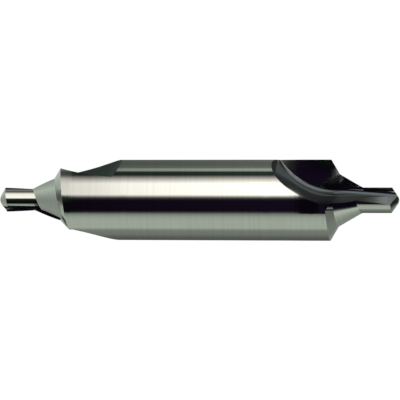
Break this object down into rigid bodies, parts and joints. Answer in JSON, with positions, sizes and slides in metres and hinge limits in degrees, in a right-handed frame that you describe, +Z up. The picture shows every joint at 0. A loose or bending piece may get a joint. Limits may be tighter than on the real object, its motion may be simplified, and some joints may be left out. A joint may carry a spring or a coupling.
{
  "type": "centre drill",
  "caption": "Double-ended centre drill: a ground round bar with a pilot drill, a countersink and a protecting chamfer at each end, and helical flutes that run out on the shank.",
  "frame": {"origin": "on the axis, halfway between the two points", "axes": "+X runs along the axis to the end that is on the right in the picture, +Z is up and the picture looks along +Y"},
  "size_m": [0.0696, 0.014, 0.014],
  "materials": {
    "ground_steel": "bright, cylindrically ground high-speed steel with fine grinding marks around the axis"
  },
  "bodies": {
    "root": {"centre_drill": "ground_steel"}
  },
  "joints": []
}
